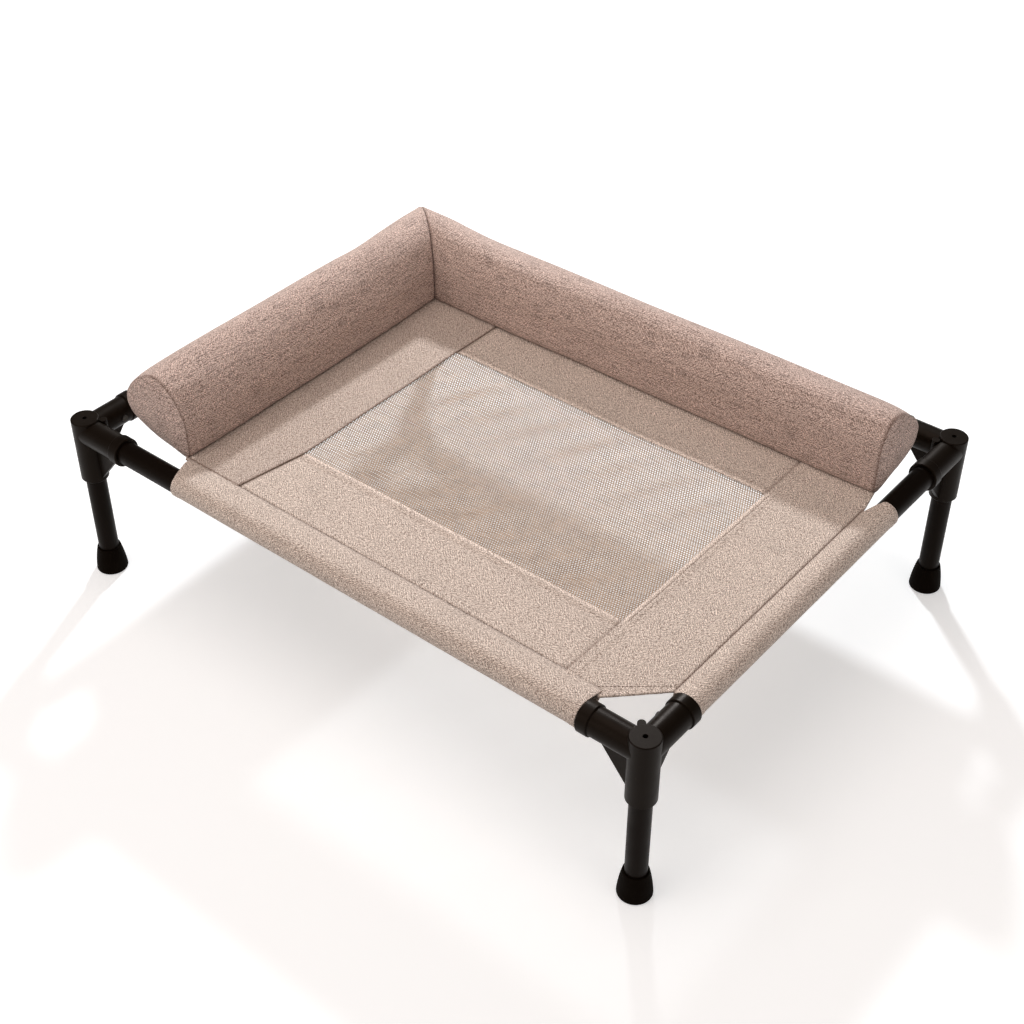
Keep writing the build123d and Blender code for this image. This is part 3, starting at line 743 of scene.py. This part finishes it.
def hem_strip(corner):
    """One folded hem: a flattened loop (a superellipse) carried along the cut's edge."""
    path, inward = hem_path(corner)
    turn = np.linspace(0, 2 * math.pi, 17)[:-1]
    cosine, sine = np.cos(turn), np.sin(turn)
    across = HEM_WIDTH / 2 * (1 - np.sign(cosine) * np.abs(cosine) ** 0.6) - 0.4 * MM
    up = HEM_THICK / 2 * np.sign(sine) * np.abs(sine) ** 0.75
    run = run_along(path)
    plan = path[:, None] + across[:, None] * inward[:, None]
    level = sheet_height(path[:, 0], path[:, 1]) - 1.25 * MM + 0.3 * MM * ripple(run, 16 * MM, len(corner))
    points = np.concatenate([plan, (level[:, None] + up)[..., None]], axis=2)
    ends = points.mean(axis=1)
    points = np.concatenate([np.repeat(ends[:1, None], 16, axis=1), points, np.repeat(ends[-1:, None], 16, axis=1)])
    run = np.concatenate([run[:1], run, run[-1:]])
    girth = np.concatenate([turn, [2 * math.pi]]) * 3 * MM
    uv = np.stack(np.broadcast_arrays(run[:, None], girth), axis=2)
    return welded(grid_piece("hem_" + corner, points, uv, closed=True, painted_shading=np.zeros(points.shape[:2])))


hems = {corner: dressed(hem_strip(corner), SHEET_LINEN, "linen_cloth", "corner_hems") for corner in CUTS}


# Stitches

STITCH_PITCH = 3.4 * MM
THREAD_R = 0.36 * MM
FRONT_CUT_STITCHES = ((0.2845, -0.2545), (0.347, -0.2026))
LEFT_STITCHES = ((SEAM_LEFT, -0.213), (SEAM_LEFT, 0.225))
RIGHT_STITCHES = ((SEAM_RIGHT, -0.207), (SEAM_RIGHT, 0.114))
SEAM_END = 65.5 * MM


def stitches(name, path, gap_share=0.25, radius=THREAD_R, finish=SEAM_THREAD):
    """Thread stitches along a path: each is a small spindle with four sides, laid along the path at even
    steps and pressed a little into the cloth."""
    run = run_along(path)
    count = max(2, int(run[-1] / STITCH_PITCH))
    at = (np.arange(count) + 0.5) * run[-1] / count
    shifts = (-0.5 * MM, 0, 0.5 * MM)
    behind, centre, ahead = (np.stack([np.interp(at + s, run, c) for c in path.T], axis=1) for s in shifts)
    tangent = ahead - behind
    tangent = tangent / np.linalg.norm(tangent, axis=1)[:, None]
    side = np.cross(UP, tangent)
    side = side / np.linalg.norm(side, axis=1)[:, None]
    upward = np.cross(tangent, side)
    half = STITCH_PITCH * (1 - gap_share) / 2
    ring = [(0.0, 1.0), (1.0, 0.0), (0.0, -1.0), (-1.0, 0.0)]
    shape = [(-half, 0, -0.7 * radius)]
    shape += [(end * 0.55 * half, radius * s, radius * u) for end in (-1, 1) for s, u in ring]
    shape = np.array(shape + [(half, 0, -0.7 * radius)])
    around = [(k, (k + 1) % 4) for k in range(4)]
    faces = [(0, 1 + k, 1 + after) for k, after in around] + [(9, 5 + after, 5 + k) for k, after in around]
    faces += [(1 + k, 5 + k, 5 + after) for k, after in around]
    faces += [(1 + k, 5 + after, 1 + after) for k, after in around]
    points = centre[:, None] + shape @ np.stack([tangent, side, upward], axis=1)
    triangles = (np.array(faces) + 10 * np.arange(count)[:, None, None]).reshape(-1, 3)
    places = points.reshape(-1, 3)
    piece = welded(cloth_mesh(name + "_stitches", places, triangles, places[triangles][:, :, :2]))
    return dressed(piece, finish, "linen_cloth")


def seam(name, start, end, lift=0.0, **thread_look):
    """Stitches along a straight run over the sheet's field, lifted by a set amount."""
    x, y = np.linspace(start, end, max(2, int(math.dist(start, end) / (4 * MM)))).T
    return stitches(name, np.stack([x, y, sheet_height(x, y) + lift], axis=1), **thread_look)


def left_seam_stitches():
    """The stitches along the left panel's inner edge."""
    y = np.linspace(SEAM_FRONT, SEAM_BACK, 120)
    x = left_seam(y) - LEFT_STITCH_IN
    return stitches("left_hem", np.stack([x, y, sheet_height(x, y)], axis=1))


in_right, on_right = WINDOW_X[1] + RIGHT_STITCH_IN, WINDOW_X[1] + 1 * MM
in_front, in_back = WINDOW_Y[0] - LONG_STITCH_IN, WINDOW_Y[1] + LONG_STITCH_IN
seam_stop = RIGHT_X - SEAM_END
panel_threads = {
    "left_panel": [
        left_seam_stitches(),
        seam("left_front", (FRONT_SLEEVE_X, SEAM_FRONT), (WINDOW_X[0] - 13 * MM, SEAM_FRONT)),
        seam("left_seam", *LEFT_STITCHES),
        hems["front_left"],
        hems["back_left"],
    ],
    "right_panel": [
        seam("right_hem", (in_right, WINDOW_Y[0] + 1 * MM), (in_right, WINDOW_Y[1]), 0.45 * MM),
        seam("front_right", (on_right, SEAM_FRONT), (on_right, WINDOW_Y[0]), 0.35 * MM),
        seam("back_right", (on_right, WINDOW_Y[1]), (on_right, SEAM_BACK), 0.2 * MM, radius=0.25 * MM),
        seam("front_cut", *FRONT_CUT_STITCHES, 0.15 * MM, gap_share=0.12),
        seam("right_seam", *RIGHT_STITCHES),
        hems["front_right"],
        hems["back_right"],
    ],
    "front_panel": [
        seam("front_hem", (WINDOW_X[0], in_front), (WINDOW_X[1], in_front), 0.15 * MM, finish=CLOTH_THREAD),
        seam(
            "front_seam", (FRONT_SLEEVE_X, SEAM_FRONT), (seam_stop, SEAM_FRONT), -0.15 * MM,
            gap_share=0.45, radius=0.28 * MM,
        ),
    ],
    "back_panel": [
        seam("back_hem", (WINDOW_X[0], in_back), (WINDOW_X[1], in_back), 0.15 * MM, finish=CLOTH_THREAD),
        seam("back_seam", (LEFT_X + SEAM_END, SEAM_BACK), (seam_stop, SEAM_BACK)),
    ],
}


# The bolster

AROUND = 72


def closed_outline(corners):
    """A smooth closed curve through the corners (periodic Catmull-Rom cubic), resampled to even steps of arc."""
    points = np.array(corners) * MM
    before, after, later = np.roll(points, 1, 0), np.roll(points, -1, 0), np.roll(points, -2, 0)
    t = np.linspace(0, 1, 25)[:-1, None, None]
    curve = 0.5 * (
        2 * points
        + (after - before) * t
        + (2 * before - 5 * points + 4 * after - later) * t**2
        + (3 * points - before - 3 * after + later) * t**3
    )
    curve = np.swapaxes(curve, 0, 1).reshape(-1, 2)
    curve = np.concatenate([curve, curve[:1]])
    run = run_along(curve)
    at = np.linspace(0, run[-1], AROUND + 1)[:-1]
    return np.stack([np.interp(at, run, place) for place in curve.T], axis=1), run[-1]


LEFT_RING, LEFT_GIRTH = closed_outline(LEFT_OUTLINE)
BACK_RING, BACK_GIRTH = closed_outline(BACK_OUTLINE)


def mitre_ring():
    """The shared ring at the mitre: the mean of both outlines, each taken as a share across its width, laid on
    the mitre's plane and raised where it stands over the hidden corner."""
    left_share = (LEFT_INSET - LEFT_RING[:, 0]) / LEFT_WIDTH
    back_share = (BACK_INSET - BACK_RING[:, 0]) / BACK_WIDTH
    share = (left_share + back_share) / 2
    height = (LEFT_RING[:, 1] + BACK_RING[:, 1]) / 2
    raised = height + MITRE_LIFT * smooth(0.3, 0.7, share) * smooth(20 * MM, 60 * MM, height)
    x = INNER_CORNER[0] - share * LEFT_WIDTH
    y = INNER_CORNER[1] + share * LEFT_WIDTH * MITRE_SLOPE
    return x, y, raised


MITRE_X, MITRE_Y, MITRE_H = mitre_ring()


def fullness(from_end, from_mitre, length):
    """How full the bolster is along its length: pulled in at its sewn end and a little at the mitre, and
    easing in the middle."""
    middle_dip = 0.012 * np.sin(math.pi * np.clip(from_end / length, 0, 1)) ** 2
    return 0.984 - 0.035 * np.exp(-from_end / (22 * MM)) - 0.008 * np.exp(-from_mitre / (12 * MM)) - middle_dip


def bolster_points(left):
    """Rings of the bolster, from its sewn end to the mitre: the outline scaled by fullness about its foot's
    middle, blended to the mitre's ring over its last stretch."""
    ring = LEFT_RING if left else BACK_RING
    rail = LEFT_X if left else BACK_Y
    inward = 1 if left else -1
    width_middle = ring[:, 0].mean()
    shares = (np.linspace(0, 0.06, 9)[:-1], np.linspace(0.06, 0.9, 62)[:-1], np.linspace(0.9, 1.0, 14))
    share = np.concatenate(shares)[:, None]
    start = END_SEAM_Y if left else END_SEAM_X
    stop = MITRE_Y if left else MITRE_X
    along = start + (stop - start) * share
    length = abs(INNER_CORNER[1] - END_SEAM_Y) if left else abs(END_SEAM_X - INNER_CORNER[0])
    from_mitre = (1 - share) * length
    full = fullness(share * length, from_mitre, length)
    inboard = width_middle + (ring[:, 0] - width_middle) * full
    height = ring[:, 1] * full
    blend = smooth(MITRE_BLEND, 0, from_mitre)
    mitre_across = ((MITRE_X if left else MITRE_Y) - rail) * inward
    inboard = inboard * (1 - blend) + mitre_across * blend
    height = height * (1 - blend) + MITRE_H * blend
    across = rail + inward * inboard + (LEFT_SLANT * (1 - share) if left else 0)
    x, y = np.broadcast_arrays(*((across, along) if left else (along, across)))
    return np.stack([x, y, sheet_height(x, y) + height], axis=2), share[:, 0] * length


def capped(points):
    """Closes both ends of a stack of rings: each end's ring shrinks in even steps to its middle."""
    shares = np.linspace(1, 0, 8)[1:, None, None]
    first, last = points[0].mean(axis=0), points[-1].mean(axis=0)
    start = first + (points[0] - first) * shares
    end = last + (points[-1] - last) * shares
    return np.concatenate([start[::-1], points, end])


def vertex_places(mesh):
    """A mesh's vertices as rows of x, y, z."""
    places = np.empty(len(mesh.vertices) * 3)
    mesh.vertices.foreach_get("co", places)
    return places.reshape(-1, 3)


AIR_FRAMES = 20
AIR_PRESSURE = 4.0
EVENING_ROUNDS = 40


def inflated(piece, held):
    """Fills a closed cover with air: Cloth with pressure and no gravity, its held vertices pinned. Each
    vertex's way is evened out with its neighbours' and ends within the cap of its start."""
    mesh = piece.data
    start = vertex_places(mesh)
    pinned = held(start)
    group = piece.vertex_groups.new(name="held")
    group.add([int(i) for i in np.nonzero(pinned)[0]], 1.0, "REPLACE")
    air = piece.modifiers.new("air", "CLOTH")
    air.collision_settings.use_collision = False
    cover = air.settings
    cover.vertex_group_mass = "held"
    cover.use_pressure = True
    cover.uniform_pressure_force = AIR_PRESSURE
    cover.effector_weights.gravity = 0.0
    cover.quality = 6
    cover.tension_stiffness = cover.compression_stiffness = 12.0
    cover.bending_stiffness = 3.0
    cover.shrink_min = -0.02
    scene = bpy.context.scene
    for number in range(1, AIR_FRAMES + 1):
        scene.frame_set(number)
    shaped = piece.evaluated_get(bpy.context.evaluated_depsgraph_get()).to_mesh()
    moved = vertex_places(shaped) - start
    edges = np.empty(len(mesh.edges) * 2, dtype=int)
    mesh.edges.foreach_get("vertices", edges)
    one, other = edges.reshape(-1, 2).T
    count = np.bincount(edges, minlength=len(start))[:, None]
    for _ in range(EVENING_ROUNDS):
        around = np.zeros_like(moved)
        np.add.at(around, one, moved[other])
        np.add.at(around, other, moved[one])
        moved = (moved + around / count) / 2
        moved[pinned] = 0
    far = np.linalg.norm(moved, axis=1)[:, None]
    moved = moved * (AIR_CAP * np.tanh(far / AIR_CAP) / np.maximum(far, 1e-9))
    piece.modifiers.remove(air)
    piece.vertex_groups.clear()
    scene.frame_set(1)
    ended = start + moved
    ended[:, 2] = np.maximum(ended[:, 2], sheet_height(ended[:, 0], ended[:, 1]))
    mesh.vertices.foreach_set("co", ended.ravel())
    mesh.update()


def bolster(name, left, seed):
    """One leg of the bolster: closed rings, pinched beside its seams, filled with air, subdivided."""
    points, along = bolster_points(left)
    girth = LEFT_GIRTH if left else BACK_GIRTH
    height = points[..., 2] - SHEET_Z
    foot = np.exp(-np.maximum(height, 0) / (9 * MM)) * (np.arange(AROUND) < AROUND / 3)
    tuck = 0.7 * MM * ripple(along, 15 * MM, seed)[:, None] * foot
    ends = np.exp(-along / (9 * MM)) * 0.5 * MM
    around = np.arange(AROUND) / AROUND * girth
    tuck = tuck + ends[:, None] * ripple(around, 14 * MM, seed + 1)
    away = points - points.mean(axis=1, keepdims=True)
    away = away / np.linalg.norm(away, axis=2, keepdims=True)
    points = points + away * tuck[..., None]
    # painted shade along the end seam, the mitre seam and the foot seam, and over the end caps' rings
    painted_shading = 0.7 * hill(along, 1.5 * MM) + 0.3 * hill(along[-1] - along, 1.0 * MM)
    painted_shading = np.broadcast_to(painted_shading[:, None], points.shape[:2]).copy()
    painted_shading[:, 0] = 1.0
    shape = capped(points)
    rings = (len(shape) - len(points)) // 2
    edge = np.ones((rings, AROUND)) * 0.8
    painted_shading = np.concatenate([edge, painted_shading, edge])
    u = np.concatenate([np.full(rings, along[0]), along, np.full(rings, along[-1])])
    v = np.arange(AROUND + 1) / AROUND * girth
    uv = np.stack(np.broadcast_arrays(u[:, None], v), axis=2)
    piece = welded(grid_piece(name + "_cloth", shape, uv, closed=True, painted_shading=painted_shading))

    def held(places):
        """Vertices that stay: both end caps, and the foot that is sewn to the sheet."""
        x, y, z = places.T
        at_end = y < END_SEAM_Y + 1 * MM if left else x > END_SEAM_X - 1 * MM
        on_mitre = np.abs((y - INNER_CORNER[1]) + MITRE_SLOPE * (x - INNER_CORNER[0])) < 1.5 * MM
        return at_end | on_mitre | (z < SHEET_Z + 3 * MM)

    inflated(piece, held)
    dressed(subdivided(piece), BOLSTER_LINEN, "bolster_cloth", name + "_cover", name + "_fill")
    return points


# The soft tuck across each end panel: its two ends as distance inboard and height, in millimetres
LEFT_TUCK = ((41, 59), (61, 48))
BACK_TUCK = ((106.5, 72), (88.5, 56.7))
TUCK_DEPTH = 1.4 * MM
TUCK_WIDTH = 3.5 * MM


def end_panel(name, left, rim):
    """The sewn end: rings from the rim to the middle, domed outwards, with a soft tuck across it."""
    centre = rim.mean(axis=0)
    share = np.concatenate([np.linspace(1, 0.8, 8)[:-1], np.linspace(0.8, 0, 12)])[:, None, None]
    points = centre + (rim - centre) * share
    share = share[..., 0]
    inboard = (points[..., 0] - LEFT_X) if left else (BACK_Y - points[..., 1])
    place = np.stack([inboard, points[..., 2] - SHEET_Z], axis=2)
    tuck_from, tuck_to = np.array(LEFT_TUCK if left else BACK_TUCK) * MM
    line = tuck_to - tuck_from
    t = np.clip((place - tuck_from) @ line / (line @ line), 0, 1)
    gap = np.linalg.norm(place - tuck_from - t[..., None] * line, axis=2)
    dome = END_DOME * (1 - share**2.6) - TUCK_DEPTH * hill(gap, TUCK_WIDTH) * (1 - share**6)
    turn = np.arange(AROUND) / AROUND * 0.3
    dome = dome + 0.4 * MM * ripple(turn, 16 * MM, 91) * hill(share - 0.93, 0.06)
    out = np.array([0, -1.0, 0]) if left else np.array([1.0, 0, 0])
    points = points + dome[..., None] * out
    uv = np.concatenate([place, place[:, :1]], axis=1)
    # painted shade along the end panel's rim seam
    painted_shading = hill(1 - share, 0.02) * 0.9 * np.ones(AROUND)
    piece = welded(grid_piece(name + "_cloth", points, uv, closed=True, painted_shading=painted_shading), outward=False)
    if np.array(piece.data.polygons[0].normal) @ out < 0:
        piece.data.flip_normals()
    dressed(subdivided(thick(piece)), BOLSTER_LINEN, "bolster_cloth", name)


left_rings = bolster("left_bolster", True, 21)
back_rings = bolster("back_bolster", False, 61)
end_panel("left_bolster_end", True, left_rings[0])
end_panel("back_bolster_end", False, back_rings[0])


# Floor, lights and camera

FLOOR_GLOW = 0.41
WHITE = (1, 1, 1)
WARM = (1.0, 0.875, 0.805)


def stage_floor():
    """A plain pale floor that the camera, gloss and glass see as white where it is lit."""
    mesh = bpy.data.meshes.new("floor")
    mesh.from_pydata([(-6, -6, 0), (6, -6, 0), (6, 6, 0), (-6, 6, 0)], [], [(0, 1, 2, 3)])
    floor = placed("floor", mesh)
    values = {"Base Color": (0.78, 0.82, 0.85), "Roughness": 0.9, "Specular IOR Level": 0.0, "Emission Color": WHITE}
    made, tree, shader = new_material("floor", values)
    rays = tree.nodes.new("ShaderNodeLightPath").outputs
    seen = maths(tree, "MAXIMUM", rays["Is Camera Ray"], rays["Is Glossy Ray"])
    seen = maths(tree, "MAXIMUM", seen, rays["Is Transmission Ray"])
    tree.links.new(maths(tree, "MULTIPLY", seen, FLOOR_GLOW), shader.inputs["Emission Strength"])
    mesh.materials.append(made)


def white_world():
    """Even soft light, and plain white to the camera and glass."""
    world = bpy.data.worlds.new("studio")
    world.use_nodes = True
    tree = world.node_tree
    tree.nodes.clear()
    rays = tree.nodes.new("ShaderNodeLightPath").outputs
    seen = maths(tree, "MAXIMUM", rays["Is Camera Ray"], rays["Is Transmission Ray"])
    tint = blended(tree, seen, (0.26, 0.235, 0.22), WHITE)
    back = add(tree, "ShaderNodeBackground", {"Color": tint, "Strength": 1.0})
    add(tree, "ShaderNodeOutputWorld", {"Surface": back.outputs[0]})
    bpy.context.scene.world = world


def soft_lamp(name, place, target, size, power, colour):
    """A square area lamp turned to a target."""
    lamp = bpy.data.lights.new(name, "AREA")
    lamp.color = colour
    lamp.size = size
    lamp.energy = power
    turn = (Vector(target) - Vector(place)).to_track_quat("-Z", "Y").to_matrix().to_4x4()
    placed(name, lamp).matrix_world = Matrix.Translation(place) @ turn


CAMERA_PLACE = (0.9109, -1.1260, 1.2638)
CAMERA_YAW = math.radians(-39.15)
CAMERA_PITCH = math.radians(39.0)
CAMERA_LENS = 59.888


def photo_camera():
    """The camera at the photograph's place: 39 degrees to the right of the front, looking 39 degrees down."""
    lens = bpy.data.cameras.new("camera")
    lens.sensor_width = 36
    lens.lens = CAMERA_LENS
    level = math.cos(CAMERA_PITCH)
    ahead = Vector((math.sin(CAMERA_YAW) * level, math.cos(CAMERA_YAW) * level, -math.sin(CAMERA_PITCH)))
    turn = ahead.to_track_quat("-Z", "Y").to_matrix().to_4x4()
    holder = placed("camera", lens)
    holder.matrix_world = Matrix.Translation(CAMERA_PLACE) @ turn
    bpy.context.scene.camera = holder


MIDDLE = (0, 0, 0.2)

stage_floor()
white_world()
soft_lamp("key", (-1.05, 1.42, 1.445), MIDDLE, 0.16, 35, WHITE)
soft_lamp("overhead", (-0.2, -0.5, 2.6), MIDDLE, 2.0, 27, WARM)
soft_lamp("fill", (-0.9, -2.2, 1.3), MIDDLE, 1.6, 14, WARM)
soft_lamp("side", (1.9, -0.3, 0.7), (0.35, 0.2, 0.2), 0.9, 4, WARM)
photo_camera()
bpy.context.scene.view_settings.view_transform = "Standard"
